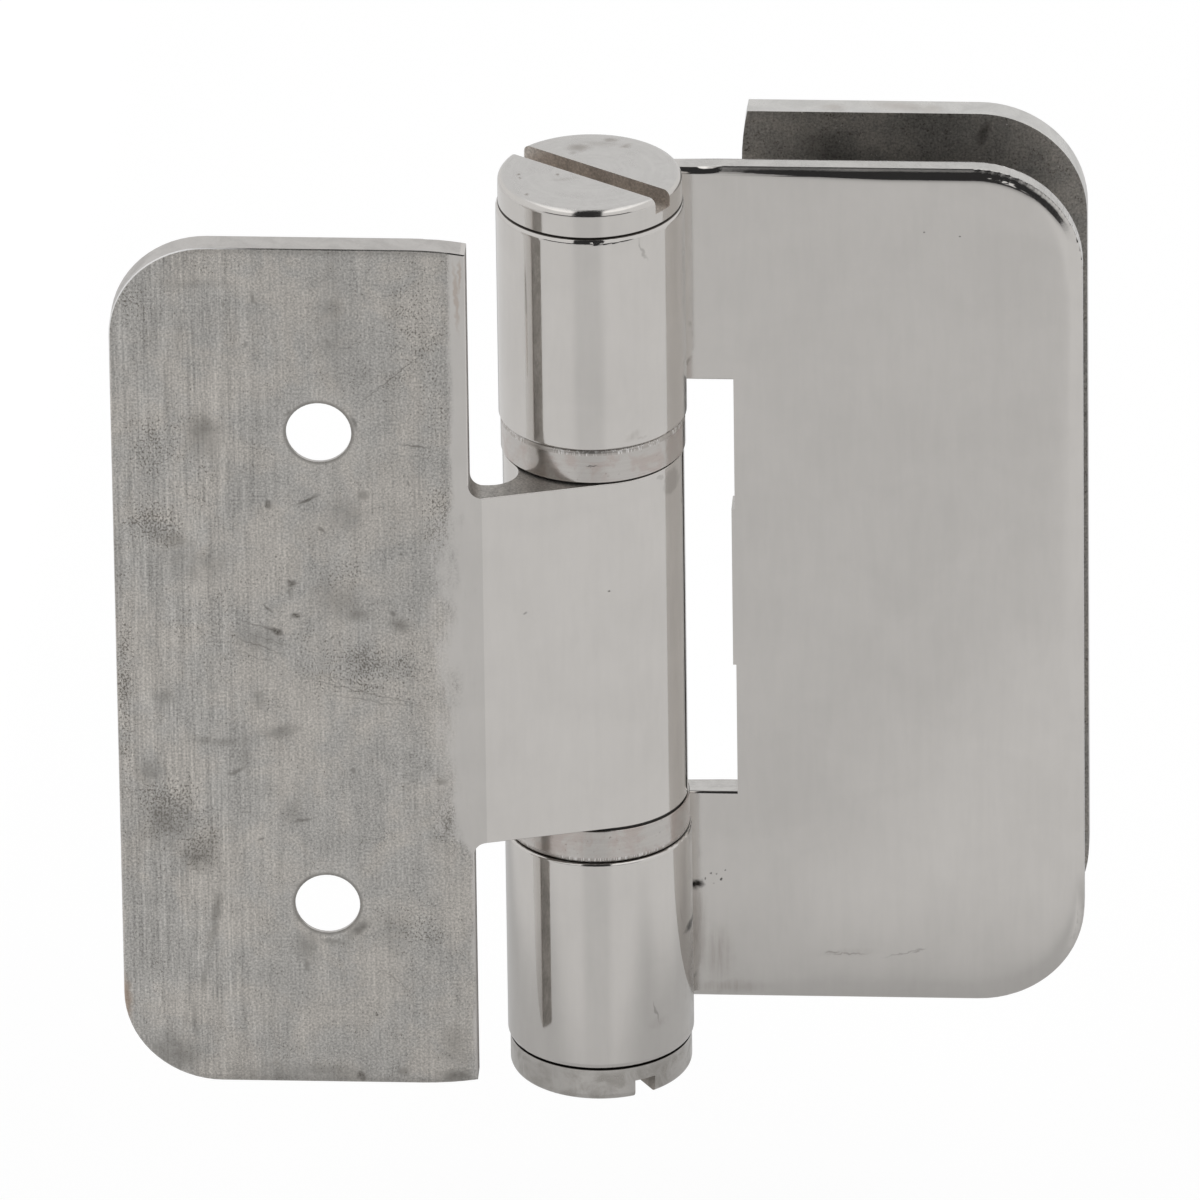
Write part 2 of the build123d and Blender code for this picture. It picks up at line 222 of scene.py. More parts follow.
class Finish(Graph):
    """One material, with its object's coordinates and normal."""

    def __init__(self, name):
        self.made = bpy.data.materials.new(name)
        self.made.use_nodes = True
        super().__init__(self.made.node_tree)
        coords = self.add("TexCoord").outputs
        self.mm = self.scaled(coords["Object"], 1 / MM, 1 / MM, 1 / MM)
        self.x, self.y, self.z = self.split(self.mm)
        self.nx, self.ny, self.nz = self.split(coords["Normal"])
        self.level = self.size(self.z)
        self.steep = self.size(self.nz)
        axis = (AXIS_X, AXIS_Y, 0)
        from_axis = self.add("VectorMath", {0: self.mm, 1: axis}, operation="SUBTRACT")
        flat = self.scaled(from_axis.outputs[0], 1, 1, 0)
        self.radius = self.add("VectorMath", {0: flat}, operation="LENGTH").outputs["Value"]
        wobble = self.add("TexNoise", {"Vector": self.mm, "Scale": 1.1, "Detail": 2.0})
        middle = {0: wobble.outputs["Color"], 1: (0.5, 0.5, 0.5)}
        moved = self.add("VectorMath", middle, operation="SUBTRACT")
        moved = self.add("VectorMath", {0: moved.outputs[0], "Scale": 0.9}, operation="SCALE")
        moved = self.add("VectorMath", {0: self.mm, 1: moved.outputs[0]})
        # A Mapping node that changes nothing saves a conversion for each mark, which
        # would add up to more than a material can hold
        self.ragged = self.scaled(moved.outputs[0], 1, 1, 1)
        self.haze = self.noise(self.mm, 0.13, 4.0, 0.6, 0.4)
        self.blotch = self.noise(self.mm, 0.36, 4.0, 0.64, 0.6)
        self.grain = self.noise(self.mm, 4.0, 3.0, 0.7)

    def outside(self):
        """The barrel's half on the mounting face's side."""
        return self.step(self.y, AXIS_Y, AXIS_Y - 1)

    def spots(self, rows, upright=True, soft=0.7):
        """Soft marks with ragged edges. Each row has a place across and up (or back,
        on a level face), half width, half height, turn in degrees and strength."""
        reach = 1 + soft / 2
        full = 1 - (1 - soft) / reach
        total = 0.0
        for across, up, wide, high, turn, strength in rows:
            wide, high = wide * reach, high * reach
            if upright:
                where = {"Location": (across, 0, up), "Rotation": (0, radians(-turn), 0),
                         "Scale": (wide, FAR, high)}
            else:
                where = {"Location": (across, up, 0), "Rotation": (0, 0, radians(turn)),
                         "Scale": (wide, high, FAR)}
            local = self.add("Mapping", {"Vector": self.ragged, **where}, vector_type="TEXTURE")
            ball = {"Vector": local.outputs[0]}
            inside = self.add("TexGradient", ball, gradient_type="SPHERICAL")
            spot = self.step(inside.outputs["Fac"], 0.0, full, 0.0, strength)
            total = self.math("MAXIMUM", total, spot)
        return total

    def over(self, share, below, above):
        """One coat over another."""
        return Coat(
            self.mix(share, below.colour, above.colour),
            self.lerp(share, below.rough, above.rough),
            below.height if above.height is None else self.lerp(share, below.height, above.height),
        )

    def stained(self, share, coat, colour, rough=0.0):
        """A coat with a share of another colour over it, a little rougher there."""
        roughness = self.math("MULTIPLY_ADD", share, rough, coat.rough)
        return Coat(self.mix(share, coat.colour, colour), roughness, coat.height)

    def polish(self, rough=0.06):
        """Polished steel, with a faint haze and wiping marks."""
        wiped = self.noise(self.scaled(self.mm, 0.9, 0.9, 0.12), 1.0, 3.0, 0.65)
        dusty_and_glinting = self.step(self.grain, 0.75, 0.78, 0.0, 0.40)
        amount = self.plus(self.step(self.haze, 0.25, 0.75, 0.965, 1.02),
                           self.step(wiped, 0.3, 0.7, -0.012, 0.012))
        colour = self.mix(dusty_and_glinting, self.shade(STEEL, amount), POLISH_DUST)
        rough = self.step(self.haze, 0.3, 0.75, rough, rough + 0.05)
        return Coat(colour, rough, self.times(self.haze, 0.006))

    def mill(self, tone=MILL, pits=0.25, marks=None, rough=0.36, streaky=1.0):
        """Unpolished plate: streaks along Z, clouds, and dark pits in patches."""
        broad = self.noise(self.scaled(self.mm, 0.7, 0.7, 0.03), 1.0, 2.0, 0.6)
        fine = self.noise(self.scaled(self.mm, 3.6, 3.6, 0.11), 1.0, 3.0, 0.65)
        streaks = self.plus(self.step(broad, 0.2, 0.8, -0.11, 0.11),
                            self.step(fine, 0.2, 0.8, -0.23, 0.23))
        amount = self.plus(
            self.step(self.haze, 0.2, 0.8, 0.84, 1.16), self.times(streaks, streaky),
            self.step(self.blotch, 0.25, 0.75, 0.05, -0.05),
            self.step(self.grain, 0.2, 0.8, -0.40, 0.40),
        )
        warmth = self.step(self.haze, 0.4, 0.6)
        hue = self.mix(warmth, COOL, WARM)
        colour = self.mix(1.0, self.shade(tone, amount), hue, "MULTIPLY")
        density = self.math("MULTIPLY_ADD", self.step(self.blotch, 0.45, 0.68), pits, 0.22)
        if marks is not None:
            density = self.math("MULTIPLY_ADD", marks, 0.60, density)
        dots = self.noise(self.scaled(self.mm, 1.0, 1.0, 0.8), 4.6, 2.0, 0.6)
        limit = self.math("MULTIPLY_ADD", density, -0.27, 0.71)
        pitted = self.step(dots, limit, self.plus(limit, 0.06), 0.0, 0.78)
        colour = self.mix(pitted, colour, MILL_PIT)
        height = self.plus(self.times(fine, 0.006), self.times(self.grain, 0.006))
        return Coat(colour, self.step(self.haze, 0.3, 0.7, rough - 0.04, rough + 0.06), height)

    def cut(self, tone=CUT, rough=0.30, mottle=1.0):
        """Cut edge, ground but not polished."""
        clouds = self.step(self.blotch, 0.3, 0.75, 1 + 0.05 * mottle, 1 - 0.10 * mottle)
        grain = self.step(self.grain, 0.1, 0.9, -0.06 * mottle, 0.06 * mottle)
        amount = self.plus(clouds, grain)
        rough = self.step(self.blotch, 0.3, 0.7, rough, rough + 0.12)
        return Coat(self.shade(tone, amount), rough, None)

    def raw(self, tone=RAW):
        """Sawn edge left as it was: dull, dark and speckled."""
        amount = self.plus(self.step(self.grain, 0.25, 0.8, -0.28, 0.30),
                           self.step(self.blotch, 0.3, 0.7, 0.85, 1.1))
        return Coat(self.shade(tone, amount), 0.5, None)

    def close(self, coat, metallic=1.0):
        """Principled shader for a coat whose height is in millimetres."""
        normal = self.add("Bump", {"Height": coat.height, "Distance": MM, "Strength": 1.0})
        shader = self.add("BsdfPrincipled", {
            "Base Color": coat.colour, "Roughness": coat.rough, "Metallic": metallic,
            "Normal": normal.outputs[0],
        })
        self.add("OutputMaterial", {"Surface": shader.outputs[0]})
        return self.made


# Wall leaf's mounting side, as it was left: pitted patches, then dark smudges and
# marks, each by its place across and up, half width, half height, turn and strength
WALL_PITS = (
    (-17.5, 26.5, 4.0, 5.0, 0, 0.6), (-17.8, 17.2, 3.6, 3.4, -20, 1.0),
    (-12.6, 21.5, 2.6, 5.5, 0, 0.45), (10.5, 40.5, 4.0, 9.0, 0, 0.55),
    (13.0, 18.8, 2.1, 4.6, 0, 0.95), (12.8, 31.0, 1.6, 9.0, 0, 0.5),
    (2.5, 11.5, 3.0, 3.2, 0, 0.6), (4.5, 0.5, 7.5, 4.2, -12, 0.7),
    (-17.0, -17.0, 4.0, 4.4, -35, 1.0), (-13.8, -21.6, 2.4, 3.4, -20, 1.0),
    (13.4, -17.8, 1.9, 2.8, 0, 1.0), (9.5, -31.0, 4.5, 3.6, 0, 0.6),
    (-19.5, 43.0, 2.5, 4.0, 0, 0.5), (-21.4, -4.0, 1.0, 14.0, 0, 0.75),
    (-18.6, -37.5, 1.4, 4.0, 0, 0.4), (-11.5, 4.0, 4.0, 5.0, 0, 0.35),
)
WALL_SMUDGES = (
    (-12.3, 27.8, 2.0, 2.7, 0, 0.55), (1.6, 42.0, 1.5, 8.0, 0, 0.28),
    (1.2, 38.9, 1.1, 0.7, -20, 0.5), (2.6, 18.4, 2.5, 2.2, 40, 0.36),
    (-13.5, 12.5, 4.0, 2.2, 0, 0.28), (-12.0, 45.8, 4.2, 0.5, 0, 0.28),
    (1.8, 8.4, 3.0, 2.5, 0, 0.30), (3.8, 6.6, 1.6, 0.9, 0, 0.45),
    (8.3, 5.4, 1.3, 0.9, -35, 0.5), (-7.0, 3.6, 2.6, 1.7, -15, 0.35),
    (-18.8, -12.6, 1.4, 1.5, 0, 0.5), (-11.5, -8.8, 3.2, 0.5, 0, 0.42),
    (-4.9, -7.6, 2.3, 0.9, 12, 0.42), (-8.6, -9.5, 0.5, 3.2, 0, 0.35),
    (-17.2, -3.6, 1.1, 0.9, -20, 0.5), (-6.9, -3.8, 0.5, 1.2, 0, 0.45),
    (-17.2, -18.6, 3.0, 3.0, -35, 0.40), (-13.9, -22.6, 1.9, 2.3, -20, 0.5),
    (-12.0, -29.6, 0.6, 4.4, -10, 0.45), (-13.4, -37.4, 0.5, 2.6, -12, 0.35),
    (-14.6, -43.0, 0.4, 2.6, 0, 0.35), (-17.0, -46.8, 3.4, 2.5, -20, 0.5),
    (-3.0, -48.9, 8.0, 1.2, 0, 0.42), (13.6, -49.0, 2.2, 0.8, 0, 0.7),
    (13.4, -45.5, 1.4, 3.0, 0, 0.3), (-3.6, -17.2, 1.3, 1.7, 0, 0.25),
    (-2.3, -33.4, 1.4, 1.8, 0, 0.45), (3.4, -31.2, 1.6, 0.7, 42, 0.75),
    (0.5, -32.9, 1.6, 0.5, 0, 0.6), (-2.4, -25.7, 1.5, 0.4, 35, 0.4),
    (-16.0, 15.3, 3.2, 1.0, -15, 0.35), (7.0, -31.5, 2.0, 2.6, 0, 0.22),
)
WALL_MARKS = (
    (4.6, 20.9, 0.7, 0.6, 0, 0.5), (7.6, 6.8, 0.4, 0.4, 0, 0.6),
    (3.3, -49.2, 0.6, 0.5, 0, 0.85), (7.8, -48.6, 0.8, 0.5, 0, 0.5),
    (-9.6, -12.4, 1.2, 0.3, 25, 0.6), (-2.4, -18.2, 1.2, 0.3, 10, 0.6),
    (-2.3, -35.8, 0.4, 0.8, 0, 0.5), (12.5, -13.4, 0.8, 0.4, 0, 0.5),
    (3.2, -12.2, 0.35, 0.45, 0, 0.5), (-3.2, 10.3, 0.55, 0.45, 0, 0.85),
    (-3.4, 9.2, 0.25, 0.8, 0, 0.5), (-5.8, 7.3, 0.8, 0.22, -40, 0.75),
    (-2.8, 6.4, 0.55, 0.45, 0, 0.95), (-4.9, 4.5, 0.9, 0.45, -30, 1.0),
    (-5.5, 19.7, 0.45, 0.55, 0, 0.8), (-1.3, 20.3, 1.5, 0.22, 28, 0.85),
    (0.1, 16.7, 0.7, 0.22, -40, 0.7), (10.2, 26.8, 1.7, 0.16, -7, 0.7),
    (9.5, 22.4, 0.2, 0.4, 0, 0.6), (-6.7, 44.0, 0.25, 0.9, 25, 0.5),
    (-9.9, 43.4, 0.2, 0.4, 0, 0.5), (-7.7, 38.6, 0.2, 0.5, -25, 0.5),
    (-3.3, 30.6, 0.5, 0.25, 40, 0.6), (3.8, 29.6, 0.22, 0.9, 20, 0.75),
    (5.0, -41.7, 0.22, 0.2, 0, 0.8),
    (-7.1, -20.6, 0.4, 0.2, 25, 0.6), (-4.8, 13.4, 0.12, 0.12, 0, 0.9),
)
WALL_SCRATCHES = (
    (7.9, 34.9, 4.7, 0.07, 41, 0.75), (7.3, -37.6, 2.3, 0.07, -42, 0.6),
    (4.5, -2.7, 7.0, 0.10, -14, 0.55), (5.0, -3.7, 6.0, 0.08, -8, 0.45),
    (2.0, -1.2, 6.0, 0.07, -13, 0.4), (-6.6, 2.6, 3.0, 0.10, -21, 0.6),
    (-6.4, 5.0, 2.6, 0.10, -16, 0.55), (-7.0, 1.3, 2.6, 0.08, -20, 0.45),
    (-5.5, 3.4, 3.0, 0.08, -18, 0.45), (6.0, 0.3, 4.5, 0.07, -14, 0.35),
)


def wall_leaf_material():
    """Polished tongue, knuckle and back, with an unpolished mounting side and edges."""
    g = Finish("wall_leaf_steel")
    polished = g.polish()

    # Mounting side, up to a narrow polished strip beside the notches
    pits = g.spots(WALL_PITS, soft=0.95)
    mill = g.mill(marks=pits, streaky=g.step(g.x, -13.0, -2.0, 1.0, 0.5))
    speckle = g.step(g.grain, 0.35, 0.58, 0.25, 1.0)
    cloudy = g.plus(g.times(speckle, 0.45), g.step(g.blotch, 0.35, 0.6, 0.35, 0.95))
    smudge = g.times(g.spots(WALL_SMUDGES, soft=0.95), cloudy)
    smudged = g.mix(smudge, mill.colour, WALL_SMUDGE)
    marked = g.mix(g.times(g.spots(WALL_MARKS), speckle), smudged, WALL_MARK)
    scratched = g.mix(g.times(g.spots(WALL_SCRATCHES), speckle), marked, WALL_SCRATCH)

    # Round each screw hole a lighter ring, and a dark, ragged lip
    hole = g.join(g.x, 0.0, g.plus(g.level, -HOLE_Z))
    from_hole = g.add("VectorMath", {0: hole}, operation="LENGTH").outputs["Value"]
    lip = g.times(g.step(from_hole, HOLE_R + 0.45, HOLE_R + 0.1), g.step(speckle, 0.3, 0.9, 0.25, 0.7))
    bright = g.step(from_hole, HOLE_R + 3.0, HOLE_R + 0.1, 0.0, 0.10)
    rimmed = g.mix(lip, g.mix(bright, scratched, HOLE_SHINE), WALL_DIRT)
    edge_dirt = g.step(g.size(g.plus(g.level, 0.3 - HALF_HEIGHT)), 0.7, 0.0, 0.0, 0.30)
    mill = Coat(g.mix(edge_dirt, rimmed, WALL_DIRT), mill.rough, mill.height)

    # Its limit, ragged beside the tongue and nearly straight beside the notches
    strip = g.step(g.level, MID_END - 3, MID_END + 2)
    wander = g.noise(g.scaled(g.mm, 1.0, 1.0, 0.35), 0.5, 3.0, 0.6)
    wander = g.times(g.plus(wander, -0.5), g.lerp(strip, 9.0, 1.6))
    soft = g.lerp(strip, 2.2, 0.35)
    at_notch = g.step(g.z, -19.0, -21.0, UPPER_POLISH, LOWER_POLISH)
    limit = g.plus(g.lerp(strip, TONGUE_POLISH, at_notch), wander)
    front = g.times(g.step(g.ny, -0.5, -0.85), g.step(g.y, 0.2, 0.05))
    before = g.step(g.x, g.plus(limit, soft), g.math("SUBTRACT", limit, soft))
    coat = g.over(g.times(front, before), polished, mill)

    # Outline, ground bright, and the raw edges beside the barrel and on the tongue
    side_on = g.step(g.size(g.ny), 0.6, 0.4)
    plate = g.step(g.x, WALL_NEAR - 0.4, WALL_NEAR - 0.6)
    coat = g.over(g.times(side_on, plate), coat, g.cut())
    beside = g.times(side_on, g.step(g.nx, 0.6, 0.8), g.step(g.x, NOTCH_END + 0.1, NOTCH_END - 0.1),
                     g.step(g.level, MID_END, MID_END + 0.2))
    notch = g.times(side_on, g.between(g.x, WALL_NEAR - 0.2, NOTCH_END, 0.1),
                    g.between(g.level, MID_END, MID_END + 1.6, 0.05),
                    g.step(g.y, WALL_THICK + 0.2, WALL_THICK))
    end_face = g.times(g.step(g.steep, 0.7, 0.9), g.step(g.x, WALL_NEAR, WALL_NEAR + 0.4),
                       g.step(g.level, MID_END - 0.3, MID_END - 0.1))
    raw = g.math("MAXIMUM", beside, g.math("MAXIMUM", notch, end_face))
    coat = g.over(raw, coat, g.raw())

    # Brown tints, and a painted highlight on the rim of the upper far corner
    brown = g.spots(((-22.1, -40.0, 0.8, 3.0, 4, 0.6), (14.9, 44.5, 0.25, 4.0, 3, 0.35),
                     (15.3, 47.0, 0.2, 2.2, -4, 0.35)))
    coat = g.stained(brown, coat, BROWN)
    rim = g.times(g.between(g.ny, -0.88, -0.52, 0.04), g.step(g.z, 33.0, 41.0),
                  g.step(g.x, -5.0, -12.0))
    coat = g.stained(rim, coat, RIM_SHINE, 0.2)

    # Marks on the polished side of the tongue and knuckle that faces out
    outside = g.outside()
    pit = g.spots(((30.55, 7.8, 0.16, 0.12, 0, 0.9), (21.8, 6.5, 0.2, 0.15, 0, 0.4)))
    film = g.spots(((37.1, 18.7, 0.75, 1.5, 0, 0.42), (36.0, 19.9, 0.3, 0.2, 0, 0.3)),
                   soft=0.35)
    coat = g.stained(g.times(pit, outside), coat, GRIME_AND_SEAM_SHADE)
    coat = g.stained(g.times(film, outside), coat, WALL_FILM, 0.15)
    return g.close(coat)


# Door leaf's pits, scratches and films, in the same order of values
DOOR_MARKS = (
    (38.8, -36.1, 0.66, 0.52, 10, 1.0), (38.4, -36.2, 0.45, 0.62, 0, 1.0),
    (39.6, -35.5, 0.12, 0.12, 0, 0.7), (41.4, -35.6, 0.12, 0.2, 0, 0.9),
    (40.3, -34.7, 0.12, 0.12, 0, 0.7), (41.7, -34.4, 0.12, 0.10, 0, 0.7),
    (40.8, -35.0, 0.10, 0.10, 0, 0.5), (40.6, -36.0, 0.08, 0.08, 0, 0.5),
    (63.8, 42.8, 0.10, 0.10, 0, 0.7), (67.6, 42.2, 0.10, 0.10, 0, 0.7),
)
DOOR_SCRATCHES = (
    (55.0, -44.5, 2.2, 0.10, 2, 0.35), (53.4, -44.3, 0.9, 0.14, 0, 0.4),
    (61.2, -44.2, 2.4, 0.10, 14, 0.30), (62.6, -44.0, 0.8, 0.12, 20, 0.35),
    (34.5, 47.8, 0.12, 1.5, 15, 0.35), (34.9, -43.9, 0.12, 1.4, 10, 0.4),
)
DOOR_FILMS = (
    (38.9, -41.5, 0.9, 5.0, 0, 0.50), (41.0, -44.6, 1.5, 3.4, 0, 0.42),
    (42.0, -48.6, 4.0, 0.8, 0, 0.40), (55.0, -44.3, 3.4, 0.5, 4, 0.16),
    (33.3, 26.1, 0.8, 0.5, 15, 0.42), (34.2, 25.7, 0.5, 0.2, 0, 0.35),
    (38.6, 31.5, 0.3, 0.3, 0, 0.4), (35.1, -45.3, 0.9, 0.6, 0, 0.22),
)


def roll_off(g):
    """Height of the door plate's face, which polishing has rolled off towards its
    outline, more so at the far end. On the outline's rounding the height first makes
    up for the rounding's fall, so that the rolled-off face goes on to a crisp edge."""
    across = g.math("MAXIMUM", g.plus(g.x, DOOR_CORNER - DOOR_FAR), 0.0)
    up = g.math("MAXIMUM", g.plus(g.level, DOOR_CORNER - HALF_HEIGHT), 0.0)
    corner = g.math("SQRT", g.plus(g.times(across, across), g.times(up, up)))
    inside = g.math("SUBTRACT", DOOR_CORNER, corner)
    round_share = g.step_line(inside, DOOR_ROUND, 0.0, 0.0, 0.97)
    fall = g.math("LOGARITHM", g.plus(1.0, g.times(round_share, round_share, -1.0)), e)
    flat = g.times(fall, -DOOR_ROUND / 2)
    along = g.times(g.math("ARCSINE", round_share), DOOR_ROUND)
    past = g.math("MAXIMUM", g.plus(inside, -DOOR_ROUND), 0.0)
    near = g.times(g.math("EXPONENT", g.times(past, -1 / ROLL_LENGTH)), ROLL_LENGTH)
    steep = g.plus(g.step_line(g.x, 40.0, 60.0, 0.05, 0.325), g.step(g.x, 75.0, 80.0, 0.0, 0.24),
                   g.times(g.plus(g.blotch, -0.5), 0.02))
    steep = g.times(steep, g.step(g.level, 34.0, 43.0, 0.3, 1.0))
    steeper = g.step(g.x, 60.0, 45.0, 0.0, 0.15)
    rolled = g.plus(g.times(steep, g.plus(near, along)), g.times(steeper, along, along))
    return g.math("SUBTRACT", flat, rolled)


def door_leaf_material():
    """Polished outside, unpolished where it faces the glass."""
    g = Finish("door_leaf_steel")
    polished = g.polish()
    face = g.times(g.step(g.ny, 0.2, -0.1), g.step(g.x, 39.5, 42.5))
    rolled = g.plus(polished.height, g.times(roll_off(g), face))
    coat = Coat(polished.colour, polished.rough, rolled)

    # Top, bottom and far edges, and the side that faces the glass
    edge = g.times(g.step(g.x, 37.0, 38.0), g.step(g.size(g.ny), 0.30, 0.15))
    coat = g.over(edge, coat, g.cut(DOOR_EDGE, 0.16))
    glass_side = g.times(g.step(g.ny, 0.6, 0.8), g.step(g.x, DOOR_NEAR - 0.2, DOOR_NEAR + 0.2))
    coat = g.over(glass_side, coat, g.mill(rough=0.45))

    in_front = g.step(g.ny, 0.1, 0.0)
    coat = g.stained(g.times(g.spots(DOOR_MARKS), in_front), coat, MARK_BLACK)
    coat = g.stained(g.times(g.spots(DOOR_SCRATCHES), in_front), coat, DOOR_SCRATCH)
    wiped = g.noise(g.scaled(g.mm, 2.2, 2.2, 0.16), 1.0, 3.0, 0.6)
    streaks = g.step(wiped, 0.35, 0.65, 0.4, 1.0)
    film = g.times(g.spots(DOOR_FILMS, soft=0.95), in_front, streaks)
    coat = g.stained(film, coat, DOOR_FILM, 0.1)

    # Painted shade in the joints with the caps and rings, a dark line where the gap between the parts
    # is
    at_cap = g.times(g.step(g.radius, CAP_R + 0.05, CAP_R + 0.01),
                     g.step(g.level, HALF_HEIGHT - 0.8, HALF_HEIGHT - 0.5))
    at_ring = g.times(g.step(g.level, KNUCKLE_START + 0.06, KNUCKLE_START + 0.02, 0.0, 0.7),
                      g.step(g.radius, BARREL_R + 0.2, BARREL_R + 0.1))
    joint_shade = g.math("MAXIMUM", at_cap, at_ring)
    return g.close(g.stained(joint_shade, coat, GRIME_AND_SEAM_SHADE, 0.3))


def clamp_plate_material():
    """Polished at the back and round the outline, unpolished towards the glass."""
    g = Finish("clamp_plate_steel")
    coat = g.over(g.step(g.size(g.ny), 0.6, 0.4), g.polish(), g.cut(CLAMP_EDGE, 0.26))
    smears = g.spots(((53.5, 36.5, 1.4, 0.9, 0, 0.35), (60.5, 37.0, 3.4, 1.2, -8, 0.40),
                      (64.0, 36.5, 1.2, 1.2, 0, 0.35)), upright=False, soft=0.95)
    coat = g.stained(g.times(smears, g.step(g.nz, 0.6, 0.9)), coat, CLAMP_SMEAR, 0.1)
    inner = g.mill(CLAMP_INNER, pits=0.30, rough=0.50, streaky=0.3)
    dark = g.spots(((69.6, 47.6, 0.7, 1.6, -20, 0.55), (52.0, 46.0, 2.2, 2.0, 0, 0.25)))
    inner = g.stained(dark, inner, GRIME_AND_SEAM_SHADE)
    # Painted glints: white specks for light caught in pits of the inner face
    dust_and_glints = g.step(g.noise(g.mm, 4.5, 1.0, 0.3), 0.74, 0.77)
    dusty_and_glinting = g.times(dust_and_glints, g.step(g.noise(g.mm, 0.25, 2.0, 0.5), 0.5, 0.6, 0.0, 0.9))
    inner = g.stained(dusty_and_glinting, inner, CLAMP_PIT_GLINT)
    return g.close(g.over(g.step(g.ny, -0.6, -0.8), coat, inner))


def cap_material():
    """Satin top and bottom, a polished side, and rougher walls in the slot."""
    g = Finish("cap_steel")
    coat = g.polish(rough=0.08)
    end = g.times(g.step(g.steep, 0.75, 0.95), g.step(g.level, CAP_END - 0.3, CAP_END + 0.3))
    satin = g.cut(CAP_SATIN, 0.17, mottle=0.4)
    lathe = g.noise(g.join(g.radius, g.times(g.z, 0.2), 0.0), 2.6, 2.0, 0.6)
    turned = g.shade(satin.colour, g.step(lathe, 0.3, 0.7, 0.985, 1.015))
    coat = g.over(end, coat, Coat(turned, satin.rough, satin.height))
    stains = g.spots(
        ((27.0, 19.3, 1.4, 0.9, 10, 0.55), (30.3, 21.3, 0.7, 0.5, 0, 0.5),
         (32.0, 19.8, 0.8, 0.5, 25, 0.5), (29.2, 20.3, 2.2, 0.7, 0, 0.25),
         (20.9, 12.6, 0.2, 0.3, 0, 0.8), (21.2, 11.6, 0.15, 0.2, 0, 0.7),
         (25.1, 12.7, 0.2, 0.3, 30, 0.7), (22.2, 7.6, 0.25, 0.35, 0, 0.7),
         (25.8, 11.5, 1.4, 0.4, 15, 0.2), (26.5, 18.0, 0.5, 0.4, 0, 0.3)),
        upright=False, soft=0.9,
    )
    coat = g.stained(g.times(stains, g.step(g.nz, 0.7, 0.9)), coat, CAP_STAIN, 0.15)

    # Slot: walls and floor are neither on the side nor on the end
    walls = g.times(g.step(g.radius, CAP_R - 0.05, CAP_R - 0.15), g.step(g.steep, 0.5, 0.3),
                    g.step(g.level, SLOT_LEVEL, SLOT_LEVEL + 0.2))
    bottom = g.times(g.step(g.steep, 0.9, 0.95),
                     g.between(g.level, SLOT_LEVEL - 0.1, CAP_END - 0.1, 0.1))
    coat = g.over(g.math("MAXIMUM", walls, bottom), coat, g.raw(SLOT_WALL))

    # The bottom cap is duller, and both have painted shade where they meet the knuckles
    below = g.step(g.z, 1 - HALF_HEIGHT, -1 - HALF_HEIGHT)
    dull = g.times(below, g.step(g.blotch, 0.35, 0.65, 0.2, 0.7))
    coat = g.stained(dull, coat, CAP_DULL, 0.25)
    seam_shade = g.step(g.level, HALF_HEIGHT + 0.10, HALF_HEIGHT + 0.03)
    return g.close(g.stained(seam_shade, coat, GRIME_AND_SEAM_SHADE, 0.3))


def ring_material():
    """Turned steel, less polished and a little brown, with tool marks on its rim."""
    g = Finish("ring_steel")
    turned = g.noise(g.join(g.times(g.z, 7.0), g.times(g.radius, 3.0), 0.0), 1.0, 3.0, 0.6)
    tone = g.mix(g.step(g.blotch, 0.42, 0.62), *RING_TONES)
    colour = g.shade(tone, g.step(turned, 0.25, 0.75, 0.95, 1.03))
    dots = g.step(g.noise(g.mm, 2.6, 2.0, 0.6), 0.68, 0.73, 0.0, 0.5)
    colour = g.mix(dots, colour, RING_DOT)
    coat = Coat(colour, g.step(g.blotch, 0.3, 0.7, 0.13, 0.22), g.times(turned, 0.003))

    # Short bright marks up and down the rounded rim at the outer knuckle
    rim = g.step(g.level, KNUCKLE_START - 0.75, KNUCKLE_START - 0.55)
    teeth = g.noise(g.scaled(g.mm, 7.5, 7.5, 0.3), 1.0, 2.0, 0.6)
    sparse = g.step(g.noise(g.scaled(g.mm, 1.0, 1.0, 0.0), 0.32, 2.0, 0.5), 0.42, 0.52)
    marks = g.times(rim, sparse, g.step(teeth, 0.52, 0.58))
    coat = g.over(g.times(rim, 0.8), coat, Coat(RING_RIM, 0.35, coat.height))
    coat = g.over(marks, coat, Coat(RING_TEETH, 0.45, g.times(teeth, 0.02)))
    dash = g.spots(((28.9, 23.0, 0.75, 0.06, 0, 0.7),))
    coat = g.stained(g.times(dash, g.outside()), coat, GRIME_AND_SEAM_SHADE)
    # Painted shade at the seam with the outer knuckle
    seam_shade = g.step(g.level, KNUCKLE_START - 0.08, KNUCKLE_START - 0.02, 0.0, 0.8)
    return g.close(g.stained(seam_shade, coat, GRIME_AND_SEAM_SHADE, 0.3))


def turned_material(name, tone, rough):
    """Ground or turned steel of the pin and screws, which hardly show."""
    g = Finish(name)
    fine = g.noise(g.scaled(g.mm, 0.4, 0.4, 5.0), 1.0, 3.0, 0.6)
    clouds = g.noise(g.mm, 0.4, 3.0, 0.6)
    amount = g.plus(g.step(fine, 0.25, 0.75, -0.05, 0.05), g.step(clouds, 0.3, 0.7, 0.94, 1.03))
    coat = Coat(g.shade(tone, amount), g.step(clouds, 0.3, 0.7, rough, rough + 0.1),
                g.times(fine, 0.004))
    return g.close(coat)


